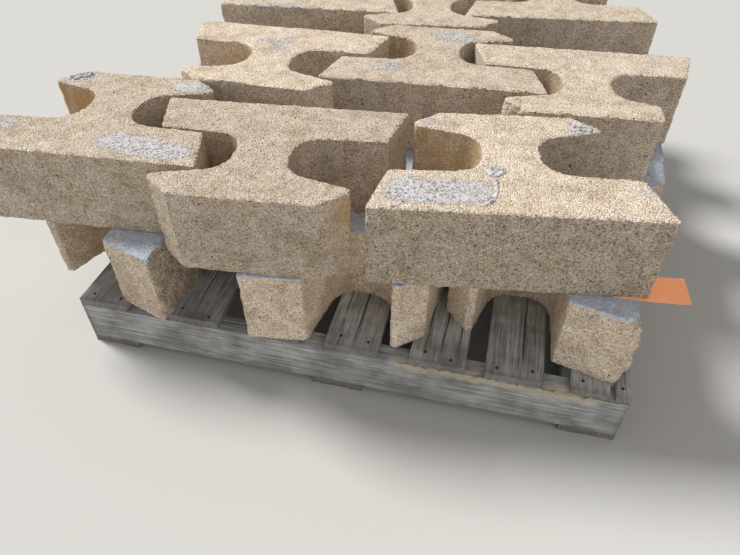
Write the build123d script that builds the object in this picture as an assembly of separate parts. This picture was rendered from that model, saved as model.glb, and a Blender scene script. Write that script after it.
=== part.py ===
"""A pallet of concrete blocks: eighteen H-shaped wall blocks in two crossed layers on a timber pallet.

Millimetres, +Z up. The origin is on the underside of the pallet, at its centre. X runs along the
stringers and Y along the deck boards, away from the side where the load is seen best.
"""
import os
from typing import NamedTuple

from build123d import *

# Block, cast concrete. In plan it is an H: a wide face bar, a neck, and a tail bar with two ears.
BLOCK_HEIGHT = 152.0
BLOCK_DEPTH = 305.0
FACE_WIDTH = 457.0
FACE_BAR = 107.0
FACE_TAPER = 27.5
NECK_WIDTH = 95.0
TAIL_WIDTH = 323.0
TAIL_BAR = 51.0
EAR_TIP = 12.0
EAR_CHAMFER = 45.0
BAR_DRAFT = 7.0
EAR_FLARE = 32.0
NECK_ROUNDING = 0.463
CORNER_RADIUS = 6.0
EAR_STUMP = 10.0

# Load. Neighbours in a row are turned end for end, so that a face bar sits in the next cut-out.
ROW_GAP = 4.0
BEDDING = 0.5

# Pallet, sawn softwood. The last deck board has split from its near end.
BOARD_WIDTH = 100.0
BOARD_LENGTH = 1067.0
BOARD_THICKNESS = 16.0
BOARD_GAPS = (90.0, 60.0, 48.0, 58.0, 34.0, 46.0)
STRINGER_WIDTH = 38.0
STRINGER_HEIGHT = 89.0
STRINGER_COUNT = 3
BOTTOM_BOARD_COUNT = 3
SPLIT_LENGTH = 230.0
SPLIT_OPENING = 11.0
SPLIT_FROM_EDGE = 24.0

# Card tag, pinched between the layers at the right-hand end of the front row.
TAG_LENGTH = 120.0
TAG_WIDTH = 62.0
TAG_THICKNESS = 0.4
TAG_OVERHANG = 76.0
TAG_FROM_BLOCK_END = 87.0
TAG_TURN = 3.0

# Worked out from the sizes above.
PALLET_LENGTH = (len(BOARD_GAPS) + 1) * BOARD_WIDTH + sum(BOARD_GAPS)
DECK_BASE = BOARD_THICKNESS + STRINGER_HEIGHT
LOWER_BASE = DECK_BASE + BOARD_THICKNESS
UPPER_BASE = LOWER_BASE + BLOCK_HEIGHT + BEDDING
EAR_START = BLOCK_DEPTH - TAIL_BAR
NECK_START = FACE_BAR + BAR_DRAFT
NECK_END = EAR_START - EAR_FLARE
NECK_RADIUS = NECK_ROUNDING * (NECK_END - NECK_START)
LOCK_OFFSET = BLOCK_DEPTH - FACE_BAR - EAR_START / 2
LOCKED_STEP = (FACE_WIDTH + NECK_WIDTH) / 2
LOOSE_STEP = (FACE_WIDTH + TAIL_WIDTH) / 2
ROW_STEP = BLOCK_DEPTH + LOCK_OFFSET + ROW_GAP


class Block(NamedTuple):
    """A block in its row: the free room before it, how far it sits out of line, and its own turn."""

    name: str
    tail_away: bool
    gap: float
    slide: float
    turn: float
    locked: bool = True
    lost_ear: bool = False


# Each row has its middle and its blocks from left to right. The first row is the near one.
UPPER_TURN = 4.8
UPPER_ROWS = (
    (-136.0, (
        Block("top_block_front_left", True, 0.0, 50.0, -0.9),
        Block("top_block_front_middle", False, 46.0, 40.0, 0.6),
        Block("top_block_front_right", True, 20.0, -8.0, 3.9, locked=False),
    )),
    (56.0, (
        Block("top_block_middle_left", False, 0.0, 40.0, -4.0),
        Block("top_block_middle_centre", True, 74.0, 21.0, -1.2),
        Block("top_block_middle_right", False, 28.0, 8.0, -1.2, lost_ear=True),
    )),
    (45.0, (
        Block("top_block_back_left", True, 0.0, 28.0, 0.6),
        Block("top_block_back_middle", False, 30.0, 29.0, 2.4),
        Block("top_block_back_right", True, 32.0, 46.0, 2.4),
    )),
)

# Each row has its middle and its blocks from near to far. The first row is the right-hand one.
LOWER_TURN = 87.0
LOWER_ROWS = (
    (69.0, (
        Block("bottom_block_right_front", True, 0.0, -8.0, 3.0),
        Block("bottom_block_right_middle", False, 44.0, -8.0, -0.4),
        Block("bottom_block_right_back", True, 66.0, -12.0, -3.0),
    )),
    (-8.0, (
        Block("bottom_block_middle_front", False, 0.0, 0.0, -3.6),
        Block("bottom_block_middle_centre", True, 54.0, -4.0, 0.0),
        Block("bottom_block_middle_back", False, 56.0, 0.0, 3.4),
    )),
    (-17.0, (
        Block("bottom_block_left_front", True, 0.0, 28.0, -0.9),
        Block("bottom_block_left_middle", False, 42.0, 25.0, 0.8),
        Block("bottom_block_left_back", True, 46.0, 34.0, 0.4),
    )),
)


def block_outline():
    """The plan of a block, with its centre at the origin and its tail towards +Y."""
    face_end = FACE_WIDTH / 2
    bar_end = face_end - FACE_TAPER
    neck = NECK_WIDTH / 2
    ear = TAIL_WIDTH / 2
    corners = [
        ((face_end, 0), CORNER_RADIUS),
        ((bar_end, FACE_BAR), CORNER_RADIUS),
        ((neck, NECK_START), NECK_RADIUS),
        ((neck, NECK_END), NECK_RADIUS),
        ((ear, EAR_START), CORNER_RADIUS),
        ((ear, EAR_START + EAR_TIP), CORNER_RADIUS),
        ((ear - EAR_CHAMFER, BLOCK_DEPTH), CORNER_RADIUS),
    ]
    corners += [((-x, y), radius) for (x, y), radius in reversed(corners)]
    points = [(x, y - BLOCK_DEPTH / 2) for (x, y), _ in corners]
    return make_face(FilletPolyline(*points, radius=[radius for _, radius in corners], close=True))


def block_solid(lost_ear):
    """One block standing on Z = 0. A lost ear is knocked off just outside the end of the tail."""
    solid = extrude(block_outline(), BLOCK_HEIGHT)
    if not lost_ear:
        return solid
    stump = TAIL_WIDTH / 2 - EAR_CHAMFER + EAR_STUMP
    reach = TAIL_WIDTH / 2 - stump
    ear_space = Pos(-stump, NECK_END - BLOCK_DEPTH / 2, 0) * Box(
        reach, TAIL_BAR + EAR_FLARE, BLOCK_HEIGHT, align=(Align.MAX, Align.MIN, Align.MIN)
    )
    return solid - ear_space


def layer_of_blocks(rows, layer_turn, base):
    """Places the rows side by side, tail against tail, and turns the whole layer."""
    placed = {}
    for number, (middle, blocks) in enumerate(rows):
        line = (number - (len(rows) - 1) / 2) * ROW_STEP
        steps = [block.gap + (LOCKED_STEP if block.locked else LOOSE_STEP) for block in blocks[1:]]
        along = middle - sum(steps) / 2
        for block, step in zip(blocks, [0, *steps]):
            along += step
            side = 1 if block.tail_away else -1
            across = line + side * LOCK_OFFSET / 2 + block.slide
            facing = block.turn + (0 if block.tail_away else 180)
            place = Rot(0, 0, layer_turn) * Pos(along, across, base) * Rot(0, 0, facing)
            placed[block.name] = place * block_solid(block.lost_ear)
    return placed


def board(left, base, split=False):
    """A board along Y with its left edge at X = left."""
    solid = Pos(left, 0, base) * Box(
        BOARD_WIDTH, BOARD_LENGTH, BOARD_THICKNESS, align=(Align.MIN, Align.CENTER, Align.MIN)
    )
    if not split:
        return solid
    near = -BOARD_LENGTH / 2
    right = left + BOARD_WIDTH - SPLIT_FROM_EDGE
    wedge = make_face(Polyline(
        (right, near), (right - SPLIT_OPENING, near), (right, near + SPLIT_LENGTH), close=True
    ))
    return solid - Pos(0, 0, base) * extrude(wedge, BOARD_THICKNESS)


def pallet():
    """Deck boards over stringers over bottom boards, all face to face."""
    pieces = {}
    left = -PALLET_LENGTH / 2
    for number in range(len(BOARD_GAPS) + 1):
        last = number == len(BOARD_GAPS)
        pieces[f"deck_board_{number + 1}"] = board(left, DECK_BASE, split=last)
        left += BOARD_WIDTH + (0 if last else BOARD_GAPS[number])
    for number in range(STRINGER_COUNT):
        share = number / (STRINGER_COUNT - 1) - 0.5
        pieces[f"stringer_{number + 1}"] = Pos(
            0, share * (BOARD_LENGTH - STRINGER_WIDTH), BOARD_THICKNESS
        ) * Box(
            PALLET_LENGTH, STRINGER_WIDTH, STRINGER_HEIGHT, align=(Align.CENTER, Align.CENTER, Align.MIN)
        )
    for number in range(BOTTOM_BOARD_COUNT):
        share = number / (BOTTOM_BOARD_COUNT - 1) - 0.5
        middle = share * (PALLET_LENGTH - BOARD_WIDTH)
        pieces[f"bottom_board_{number + 1}"] = board(middle - BOARD_WIDTH / 2, 0)
    return pieces


def card_tag(holder):
    """A thin card on top of the holder block, sticking out past its face."""
    face_edge = holder.faces().sort_by(Axis.X)[-1].center()
    near_end = holder.bounding_box().min.Y
    top = holder.bounding_box().max.Z
    return Pos(face_edge.X + TAG_OVERHANG, near_end + TAG_FROM_BLOCK_END, top) * Rot(0, 0, TAG_TURN) * Box(
        TAG_LENGTH, TAG_WIDTH, TAG_THICKNESS, align=(Align.MAX, Align.CENTER, Align.MIN)
    )


nodes = pallet()
nodes.update(layer_of_blocks(LOWER_ROWS, LOWER_TURN, LOWER_BASE))
nodes.update(layer_of_blocks(UPPER_ROWS, UPPER_TURN, UPPER_BASE))
nodes["card_tag"] = card_tag(nodes["bottom_block_right_front"])

os.makedirs("parts", exist_ok=True)
for node_name, node in nodes.items():
    export_step(node, f"parts/{node_name}.step")
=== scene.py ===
"""A pallet of concrete blocks: cast wall blocks in two crossed layers on a sawn timber pallet.

The blocks are buff cast concrete with an open, sandy skin, worn arrises and patches of lime bloom. The
pallet is sawn softwood that has weathered grey and cracked along its grain. A plain card tag is pinched
between the layers. All sizes below are in millimetres and are turned to metres where they are used.
"""
from __future__ import annotations

import logging
import math
import random
from contextlib import contextmanager
from dataclasses import dataclass
from enum import Enum
from typing import Iterator, Sequence

import bmesh
import bpy
import numpy as np
from bpy.types import Material, Node, NodeSocket, NodeTree, Object, Texture
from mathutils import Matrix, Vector
from mathutils.kdtree import KDTree


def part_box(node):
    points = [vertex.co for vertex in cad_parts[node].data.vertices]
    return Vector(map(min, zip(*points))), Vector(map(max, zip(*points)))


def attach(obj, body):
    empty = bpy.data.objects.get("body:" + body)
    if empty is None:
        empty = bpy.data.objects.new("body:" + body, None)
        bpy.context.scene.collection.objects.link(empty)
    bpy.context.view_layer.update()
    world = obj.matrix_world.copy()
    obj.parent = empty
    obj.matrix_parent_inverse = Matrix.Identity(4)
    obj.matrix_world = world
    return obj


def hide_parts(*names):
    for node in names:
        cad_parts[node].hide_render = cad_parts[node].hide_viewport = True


LOG = logging.getLogger("block_pallet")
MM = 0.001
BODY = "root"
BLOCK_HEIGHT = 152.0

# A colour mix has its share in socket 0 and its two colours in sockets 6 and 7.
SHARE, UNDER, OVER = 0, 6, 7
MATT = {"Roughness": 0.93, "IOR": 1.5, "Specular IOR Level": 0.25}

# The stops of a colour ramp, and a noise as its size in millimetres, its detail and its roughness.
Stops = Sequence[tuple[float, str]]
Noise = tuple[float, float, float]

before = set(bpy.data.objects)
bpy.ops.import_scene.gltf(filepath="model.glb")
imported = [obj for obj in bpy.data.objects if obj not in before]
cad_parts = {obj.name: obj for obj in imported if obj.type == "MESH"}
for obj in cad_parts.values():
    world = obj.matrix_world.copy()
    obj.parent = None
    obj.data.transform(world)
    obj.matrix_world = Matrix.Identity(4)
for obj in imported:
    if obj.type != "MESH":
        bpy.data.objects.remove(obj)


class Layer(Enum):
    """Which layer of the load a block lies in, with the height of its top."""

    UPPER = 425.5
    LOWER = 273.0


class Skin(Enum):
    """How the face of a block was left: its relief in millimetres."""

    MOULDED = 0.5
    GRITTY = 1.4
    SPLIT = 10.0


class Mesh(Enum):
    """The grain of a block's mesh: its edge length in millimetres."""

    FINE = 3.8
    MIDDLE = 5.2
    COARSE = 8.0


class Run(Enum):
    """The axis that the grain of a timber piece runs along, as an index."""

    ALONG_X = 0
    ALONG_Y = 1


def linear(hex_colour: str) -> tuple[float, float, float, float]:
    """Turns an sRGB hex value into the linear colour that a shader takes.

    Args:
        hex_colour: Six hex digits after a hash sign.

    Returns:
        Linear red, green, blue and an alpha of one.
    """
    channels = [int(hex_colour[start:start + 2], 16) / 255 for start in (1, 3, 5)]
    turned = [c / 12.92 if c <= 0.04045 else ((c + 0.055) / 1.055) ** 2.4 for c in channels]
    return (*turned, 1.0)


def per_metre(size_mm: float) -> float:
    """The texture scale at which one feature is size_mm long."""
    return 1 / (size_mm * MM)


def deselect() -> None:
    """Leaves nothing selected and nothing active."""
    bpy.ops.object.select_all(action="DESELECT")
    bpy.context.view_layer.objects.active = None


def pick(piece: Object) -> None:
    """Selects one piece alone and makes it active."""
    deselect()
    piece.select_set(True)
    bpy.context.view_layer.objects.active = piece


@contextmanager
def edit(piece: Object, action: str = "DESELECT") -> Iterator[bmesh.types.BMesh]:
    """Opens a piece in edit mode.

    Args:
        piece: The mesh object to edit.
        action: SELECT to start with everything selected.

    Yields:
        Its edit mesh, in which faces and edges are selected by place or normal.
    """
    pick(piece)
    bpy.ops.object.mode_set(mode="EDIT")
    bpy.ops.mesh.select_all(action=action)
    yield bmesh.from_edit_mesh(piece.data)
    bpy.ops.object.mode_set(mode="OBJECT")


def bake_place() -> Object:
    """Moves the place, turn and scale of the newest object into its mesh, and returns it."""
    bpy.ops.object.transform_apply(location=True, rotation=True, scale=True)
    return bpy.context.object


def finish_with(piece: Object, kind: str, **settings: object) -> None:
    """Adds one modifier to a piece and applies it.

    Args:
        piece: The object that gets the modifier.
        kind: The modifier's type.
        settings: Its fields.
    """
    pick(piece)
    modifier = piece.modifiers.new(kind.lower(), kind)
    for name, value in settings.items():
        setattr(modifier, name, value)
    bpy.ops.object.modifier_apply(modifier=modifier.name)


def clouds(name: str, size_mm: float, depth: int, contrast: float = 1.0, level: float = 1.0) -> Texture:
    """Makes the cloud pattern that a displacement follows.

    Args:
        name: The texture's name.
        size_mm: The size of one lump.
        depth: How many finer lumps ride on it.
        contrast: How steeply the lumps rise.
        level: Under 1 leaves only the highest lumps.

    Returns:
        The texture.
    """
    texture = bpy.data.textures.new(name, "CLOUDS")
    texture.noise_scale = size_mm * MM
    texture.noise_depth = depth
    texture.contrast = contrast
    texture.intensity = level
    return texture


def raise_lumps(
    piece: Object, lumps: Texture | None, height: float, middle: float, group: str = "", **settings: object
) -> None:
    """Moves a surface out where a pattern is over its middle value, and in where it is under it.

    Args:
        piece: The object to shape.
        lumps: The pattern, or nothing for an even move.
        height: The height of the lumps in millimetres. Under 0 they are hollows.
        middle: The value of the pattern that stays where it is.
        group: The vertex group that limits the move.
        settings: Further fields of the displacement.
    """
    finish_with(piece, "DISPLACE", texture=lumps, strength=height * MM, mid_level=middle, vertex_group=group,
                **settings)


def set_group(piece: Object, name: str, weights: np.ndarray) -> None:
    """Stores one weight from 0 to 1 for each vertex as a vertex group.

    Args:
        piece: The mesh object.
        name: The group's name, which no attribute of the piece has.
        weights: The weights. The smallest are left out.
    """
    group = piece.vertex_groups.new(name=name)
    for index in np.nonzero(weights > 0.01)[0]:
        group.add([int(index)], float(weights[index]), "REPLACE")


def mark(piece: Object, **values: np.ndarray | float) -> None:
    """Stores named attributes, which the finish reads.

    Args:
        piece: The mesh object.
        values: One value for each vertex, or one for them all, under each attribute's name.
    """
    for name, value in values.items():
        attribute = piece.data.attributes.new(name, "FLOAT", "POINT")
        spread = np.broadcast_to(value, len(piece.data.vertices))
        attribute.data.foreach_set("value", spread.astype(np.float32))


def points_of(piece: Object, field_name: str = "co") -> np.ndarray:
    """Reads a vector field of every vertex.

    Args:
        piece: The mesh object.
        field_name: "co" for places, "normal" for normals.

    Returns:
        An array with a row for each vertex.
    """
    values = np.zeros(len(piece.data.vertices) * 3, np.float32)
    piece.data.vertices.foreach_get(field_name, values)
    return values.reshape(-1, 3)


def copy_of_node(node: str, name: str) -> Object:
    """Copies a CAD node's mesh into a new object and merges its loose triangles into flat faces.

    Args:
        node: The CAD node.
        name: The new object's name.

    Returns:
        The new object, at the origin.
    """
    piece = bpy.data.objects.new(name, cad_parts[node].data.copy())
    bpy.context.scene.collection.objects.link(piece)
    piece.data.materials.clear()
    with edit(piece, "SELECT"):
        bpy.ops.mesh.remove_doubles(threshold=0.01 * MM)
        bpy.ops.mesh.dissolve_limited(angle_limit=math.radians(0.5))
    return piece


def hand_over(piece: Object, material: Material, slot: str, *nodes: str, smooth_under: float = 0.0) -> None:
    """Smooths a finished piece and gives it its material and its place in the record.

    Args:
        piece: The finished object.
        material: Its material.
        slot: Not used.
        nodes: The CAD nodes that it stands for.
        smooth_under: The angle in degrees under which edges look smooth. At 0 the piece stays as it is.
    """
    if smooth_under:
        pick(piece)
        bpy.ops.object.shade_smooth_by_angle(angle=math.radians(smooth_under))
    piece.data.materials.clear()
    piece.data.materials.append(material)
    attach(piece, BODY)
    if nodes:
        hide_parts(*nodes)
    LOG.info("%s: %d faces", piece.name, len(piece.data.polygons))


def add_node(
    tree: NodeTree,
    kind: str,
    inputs: dict[str | int, object] | None = None,
    stops: Stops = (),
    **settings: object,
) -> Node:
    """Adds one shader node with its settings and links.

    Args:
        tree: The material's node tree.
        kind: The node's type, without the word that all of them begin with.
        inputs: What goes into each socket: a value, an output, or a node, which stands for its first output.
        stops: The places and hex colours of a colour ramp.
        settings: The node's own fields.

    Returns:
        The new node.
    """
    node = tree.nodes.new(f"ShaderNode{kind}")
    for name, value in settings.items():
        setattr(node, name, value)
    for name, value in (inputs or {}).items():
        if isinstance(value, Node):
            value = next(socket for socket in value.outputs if socket.enabled)
        if isinstance(value, NodeSocket):
            tree.links.new(value, node.inputs[name])
        else:
            node.inputs[name].default_value = value
    if stops:
        elements = node.color_ramp.elements
        while len(elements) < len(stops):
            elements.new(1.0)
        for element, (place, colour) in zip(elements, stops):
            element.position = place
            element.color = linear(colour)
    return node


def start_material(name: str) -> tuple[Material, NodeTree, NodeSocket]:
    """Makes an empty node material.

    Args:
        name: The material's name.

    Returns:
        The material, its tree and the object coordinates that its patterns follow.
    """
    material = bpy.data.materials.new(name)
    material.use_nodes = True
    tree = material.node_tree
    tree.nodes.clear()
    return material, tree, add_node(tree, "TexCoord").outputs["Object"]


def lay_coats(tree: NodeTree, ground: Node, *coats: tuple[object, ...]) -> Node:
    """Lays colours over each other, as coats of paint.

    Args:
        tree: The material's tree.
        ground: The lowest colour.
        coats: The share and the colour of each coat, and MULTIPLY where it darkens what is under it.

    Returns:
        The node that gives the last colour.
    """
    for share, colour, *blend in coats:
        ground = add_node(tree, "Mix", {SHARE: share, UNDER: ground, OVER: colour},
                          data_type="RGBA", blend_type=blend[0] if blend else "MIX")
    return ground


def close_material(
    tree: NodeTree, colour: Node, relief: Node, depth: float, strength: float, look: dict[str, object]
) -> None:
    """Ends a material with one surface of the given colour and relief.

    Args:
        tree: The material's tree.
        colour: The node that gives the colour.
        relief: The node that gives the height.
        depth: How deep the relief is, in millimetres.
        strength: How strongly it shades.
        look: The other sockets of the surface, such as its roughness.
    """
    bump = add_node(tree, "Bump", {"Height": relief, "Distance": depth * MM, "Strength": strength})
    surface = add_node(tree, "BsdfPrincipled", {"Base Color": colour, "Normal": bump, **look})
    add_node(tree, "OutputMaterial", {"Surface": surface})


@dataclass(frozen=True)
class CastConcrete:
    """Dry-cast concrete: coarse sand in buff cement, pressed and turned out at once.

    It looks matt and open, with single grains, a few dark ones and small pits laid dark as painted shade,
    cloudy buff patches, and rough white bloom where lime has come out. Tops in the lower layer are painted
    blue-grey as sky-lit shade, and upright walls in the cut-outs are painted ochre as warm sunlight and its
    bounce.
    """

    name: str = "cast_concrete_buff"
    # Painted warm light: the ochre of sunlight and its bounce on upright walls.
    painted_light_ochre: str = "#BE9A62"
    # Painted shade inside the pits.
    pit_shade: str = "#5C4E3E"
    rim: str = "#DDDFE2"
    ground_tones: Stops = ((0.36, "#D6C6B6"), (0.62, "#F1E6DC"))
    stone_tones: Stops = (
        (0.0, "#6E6254"), (0.2, "#9E8B74"), (0.5, "#CDBDA6"), (0.75, "#F4EDE2"), (1.0, "#BFB8B0"),
    )
    grain_tones: Stops = (
        (0.0, "#5E5246"), (0.05, "#93826B"), (0.16, "#C4B196"), (0.45, "#DCCAB0"), (0.8, "#F2E6D4"),
        (0.95, "#FAF3E9"),
    )
    sand_tones: Stops = ((0.32, "#85796C"), (0.5, "#EBE5DB"), (0.64, "#FFFFFF"))
    mottle_tones: Stops = ((0.34, "#BCB0A2"), (0.56, "#FFFFFF"))
    # Painted sky-lit shade: the blue-grey laid on the lower layer's tops.
    skylit_shade_tones: Stops = ((0.40, "#AAB8CE"), (0.62, "#DDE8F9"))
    bloom_tones: Stops = ((0.05, "#8F8B90"), (0.3, "#C4BFBE"), (0.8, "#DEDAD7"))

    cloud: Noise = (70.0, 5.0, 0.6)
    sand: Noise = (1.9, 1.5, 0.6)
    mottle: Noise = (32.0, 4.0, 0.65)
    crust: Noise = (6.0, 4.0, 0.65)
    scatter: Noise = (30.0, 3.0, 0.6)
    stone_mm: float = 6.5
    grit_mm: float = 2.4
    pit_mm: float = 14.0
    speck_mm: float = 3.6

    # The value of a cell over which it holds a stone or a pit, and the largest one's reach in its cell.
    stones: tuple[float, float] = (0.35, 0.36)
    pits: tuple[float, float] = (0.55, 0.15)
    # What an open skin adds to each share or depth, and what a closed skin has.
    sand_share: tuple[float, float] = (0.12, 0.52)
    stone_share: tuple[float, float] = (0.25, 0.5)
    openness: tuple[float, float] = (0.45, 0.55)
    washing: tuple[float, float] = (0.15, 1.0)
    # How strongly each tone covers. A rim starts from a quarter at most, and the painted warm light runs
    # between two.
    sand_cover: float = 0.8
    mottle_cover: float = 0.45
    skylit_shade_cover: float = 0.88
    rim_cover: float = 2.8
    painted_light_cover: tuple[float, float] = (0.1, 0.75)
    painted_light_range: tuple[float, float] = (0.3, 0.7)
    sand_height: float = 0.7
    grain_height: float = -1.3
    pit_height: float = -1.5
    crust_height: float = 1.8
    relief_depth: float = 1.7
    relief_strength: float = 0.9
    # How far the two noises move the edge of a patch, where it starts to show and where it covers.
    pull: float = 1.8
    fray: float = 1.6
    patch_start: float = 0.42
    bloom_full: float = 0.80
    skylit_shade_full: float = 0.85

    def material(self) -> Material:
        """Builds the concrete from clouds of buff, single grains, pits, bloom, painted warm light and
        painted sky-lit shade.

        Returns:
            The finished material.
        """
        material, tree, place = start_material(self.name)
        # The face and the upper side came out open and coarse. The other sides are closer and finer.
        coarse = add_node(tree, "Attribute", attribute_name="coarse").outputs["Fac"]
        sand_part, stone_part, openness, washed = (
            add_node(tree, "Math", {0: coarse, 1: added, 2: always}, operation="MULTIPLY_ADD")
            for added, always in (self.sand_share, self.stone_share, self.openness, self.washing)
        )
        colour, height = self.clean_concrete(tree, place, sand_part, stone_part)
        relief = add_node(tree, "Math", {0: height, 1: openness}, operation="MULTIPLY")
        # Washed grains on the open sides are a little paler than those in a closed skin.
        # The tone attribute also carries painted shade: open faces, and the right-hand cut-outs of some
        # blocks, are darker.
        tone = add_node(tree, "Attribute", attribute_name="tone").outputs["Fac"]
        value = add_node(tree, "Math", {0: tone, 1: washed}, operation="MULTIPLY")
        toned = add_node(tree, "HueSaturation", {"Value": value, "Color": colour})
        colour, relief = self.weathering(tree, place, toned, relief)
        close_material(tree, colour, relief, self.relief_depth, self.relief_strength, MATT)
        return material

    def clean_concrete(
        self, tree: NodeTree, place: NodeSocket, sand_part: Node, stone_part: Node
    ) -> tuple[Node, Node]:
        """The clean concrete: cloudy buff, grains, stones and pits.

        Args:
            tree: The material's tree.
            place: The object coordinates.
            sand_part: The share of single grains in the colour.
            stone_part: The share of stones in the colour.

        Returns:
            The colour and the height of the surface.
        """
        cloud, sand, mottle = (
            add_node(tree, "TexNoise", {
                "Vector": place, "Scale": per_metre(size), "Detail": detail, "Roughness": rough,
            })
            for size, detail, rough in (self.cloud, self.sand, self.mottle)
        )
        # Each cell is one stone, grain or pit. Most grains have the ground's tone; a few are much darker.
        stones, grit, pits = (
            add_node(tree, "TexVoronoi", {"Vector": place, "Scale": per_metre(size)})
            for size in (self.stone_mm, self.grit_mm, self.pit_mm)
        )
        stone_lot, grain_lot, pit_lot = (
            add_node(tree, "SeparateColor", {"Color": cells.outputs["Color"]})
            for cells in (stones, grit, pits)
        )
        stone_size, pit_size = (
            add_node(tree, "MapRange", {"Value": lot, "From Min": start, "To Max": reach})
            for lot, (start, reach) in (
                (stone_lot.outputs["Blue"], self.stones), (pit_lot.outputs["Green"], self.pits),
            )
        )
        stone, hollow = (
            add_node(tree, "Math", {0: cells, 1: size}, operation="LESS_THAN")
            for cells, size in ((stones, stone_size), (pits, pit_size))
        )
        ground, grain, stone_tone, sand_tone, mottle_tone = (
            add_node(tree, "ValToRGB", {"Fac": value}, stops) for value, stops in (
                (cloud, self.ground_tones), (grain_lot, self.grain_tones), (stone_lot, self.stone_tones),
                (sand, self.sand_tones), (mottle, self.mottle_tones),
            )
        )
        stone_cover = add_node(tree, "Math", {0: stone, 1: stone_part}, operation="MULTIPLY")
        # The pits are laid dark: painted shade inside them.
        colour = lay_coats(
            tree, ground, (sand_part, grain), (stone_cover, stone_tone),
            (self.sand_cover, sand_tone, "MULTIPLY"), (self.mottle_cover, mottle_tone, "MULTIPLY"),
            (hollow, linear(self.pit_shade)),
        )
        height = add_node(tree, "Math", {0: sand, 1: self.sand_height}, operation="MULTIPLY")
        for value, share in ((grit, self.grain_height), (hollow, self.pit_height)):
            height = add_node(tree, "Math", {0: value, 1: share, 2: height}, operation="MULTIPLY_ADD")
        return colour, height

    def weathering(self, tree: NodeTree, place: NodeSocket, clean: Node, relief: Node) -> tuple[Node, Node]:
        """Lays painted warm light on upright walls, painted sky-lit shade on the lower tops and lime bloom
        in patches.

        Args:
            tree: The material's tree.
            place: The object coordinates.
            clean: The clean colour.
            relief: The clean height.

        Returns:
            The weathered colour and height.
        """
        crust, scatter = (
            add_node(tree, "TexNoise", {
                "Vector": place, "Scale": per_metre(size), "Detail": detail, "Roughness": rough,
            })
            for size, detail, rough in (self.crust, self.scatter)
        )
        bloom = self.ragged(tree, "bloom", crust, scatter, self.bloom_full)
        damp = self.ragged(tree, "damp", crust, scatter, self.skylit_shade_full)
        # Painted warm light: ochre laid on upright walls, broken up by the slow noise.
        stain = add_node(tree, "Attribute", attribute_name="stain").outputs["Fac"]
        (low, high), (least, most) = self.painted_light_range, self.painted_light_cover
        painted_light_run = add_node(tree, "MapRange", {
            "Value": scatter, "From Min": low, "From Max": high, "To Min": least, "To Max": most,
        })
        painted_light_part = add_node(tree, "Math", {0: stain, 1: painted_light_run}, operation="MULTIPLY")
        skylit_shade_tone = add_node(tree, "ValToRGB", {"Fac": crust}, self.skylit_shade_tones)
        skylit_shade_part = add_node(tree, "Math", {0: damp, 1: self.skylit_shade_cover}, operation="MULTIPLY")
        # Where the painted sky-lit shade ends, a thin pale rim is laid.
        bare = add_node(tree, "Math", {0: 1.0, 1: damp}, operation="SUBTRACT")
        edge = add_node(tree, "Math", {0: bare, 1: damp}, operation="MULTIPLY")
        rim_part = add_node(tree, "Math", {0: edge, 1: self.rim_cover}, operation="MULTIPLY")
        specks = add_node(tree, "TexVoronoi", {"Vector": place, "Scale": per_metre(self.speck_mm)})
        speck_lot = add_node(tree, "SeparateColor", {"Color": specks.outputs["Color"]}).outputs["Green"]
        bloom_tone = add_node(tree, "ValToRGB", {"Fac": speck_lot}, self.bloom_tones)
        colour = lay_coats(
            tree, clean, (painted_light_part, linear(self.painted_light_ochre)), (skylit_shade_part, skylit_shade_tone),
            (rim_part, linear(self.rim)), (bloom, bloom_tone),
        )
        crusted = add_node(tree, "Math", {0: bloom, 1: crust}, operation="MULTIPLY")
        raised = add_node(tree, "Math", {0: crusted, 1: self.crust_height, 2: relief},
                          operation="MULTIPLY_ADD")
        return colour, raised

    def ragged(self, tree: NodeTree, attribute: str, crust: Node, scatter: Node, full: float) -> Node:
        """Breaks the soft edge of a painted attribute.

        Args:
            tree: The material's tree.
            attribute: The attribute's name.
            crust: The fine noise that frays the edge.
            scatter: The slow noise that pulls the edge in and out.
            full: The value at which the patch covers.

        Returns:
            The cover, from 0 to 1.
        """
        painted = add_node(tree, "Attribute", attribute_name=attribute).outputs["Fac"]
        pulled = add_node(tree, "Math", {0: scatter, 1: self.pull, 2: painted}, operation="MULTIPLY_ADD")
        frayed = add_node(tree, "Math", {0: crust, 1: self.fray, 2: pulled}, operation="MULTIPLY_ADD")
        # Both noises average one half, so their mean share is taken off again.
        mean = (self.pull + self.fray) / 2
        level = add_node(tree, "Math", {0: frayed, 1: mean}, operation="SUBTRACT")
        return add_node(tree, "MapRange", {
            "Value": level, "From Min": self.patch_start, "From Max": full,
        }, interpolation_type="SMOOTHSTEP")


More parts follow.
